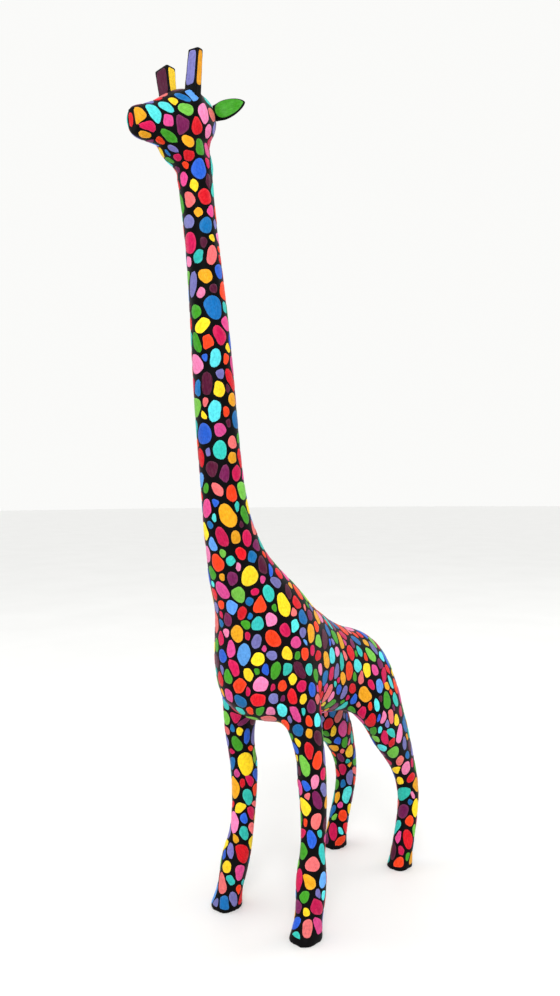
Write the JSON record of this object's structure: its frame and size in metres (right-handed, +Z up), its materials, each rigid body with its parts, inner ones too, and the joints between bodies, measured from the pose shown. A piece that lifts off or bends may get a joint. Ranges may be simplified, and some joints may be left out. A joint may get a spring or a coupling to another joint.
{
  "type": "carved giraffe statue",
  "caption": "Tall slender carved wooden giraffe standing on its legs, painted black and covered all over with small rounded hand-painted colour dots.",
  "frame": {"origin": "on the floor, under the middle of the statue's bounding box", "axes": "+Z up; the giraffe faces -Y; +X is towards its left side"},
  "size_m": [0.0992, 0.2953, 0.6108],
  "materials": {
    "painted_wood": "carved wood under satin black paint with rounded dots in many colours",
    "painted_ear": "carved wood, green face with a black edge and a straw yellow back, satin paint",
    "painted_horn": "carved wood, each side one flat colour with black edges, satin paint",
    "bare_dowel": "bare turned wood"
  },
  "bodies": {
    "root": {"torso": "painted_wood", "neck": "painted_wood", "head": "painted_wood", "front_left_leg": "painted_wood", "front_right_leg": "painted_wood", "hind_left_leg": "painted_wood", "hind_right_leg": "painted_wood", "tail": "painted_wood", "left_ear": "painted_ear", "right_ear": "painted_ear", "left_horn": "painted_horn", "right_horn": "painted_horn", "front_left_leg_dowel": "bare_dowel", "front_right_leg_dowel": "bare_dowel", "hind_left_leg_dowel": "bare_dowel", "hind_right_leg_dowel": "bare_dowel", "neck_dowel": "bare_dowel", "head_dowel": "bare_dowel"}
  },
  "joints": []
}
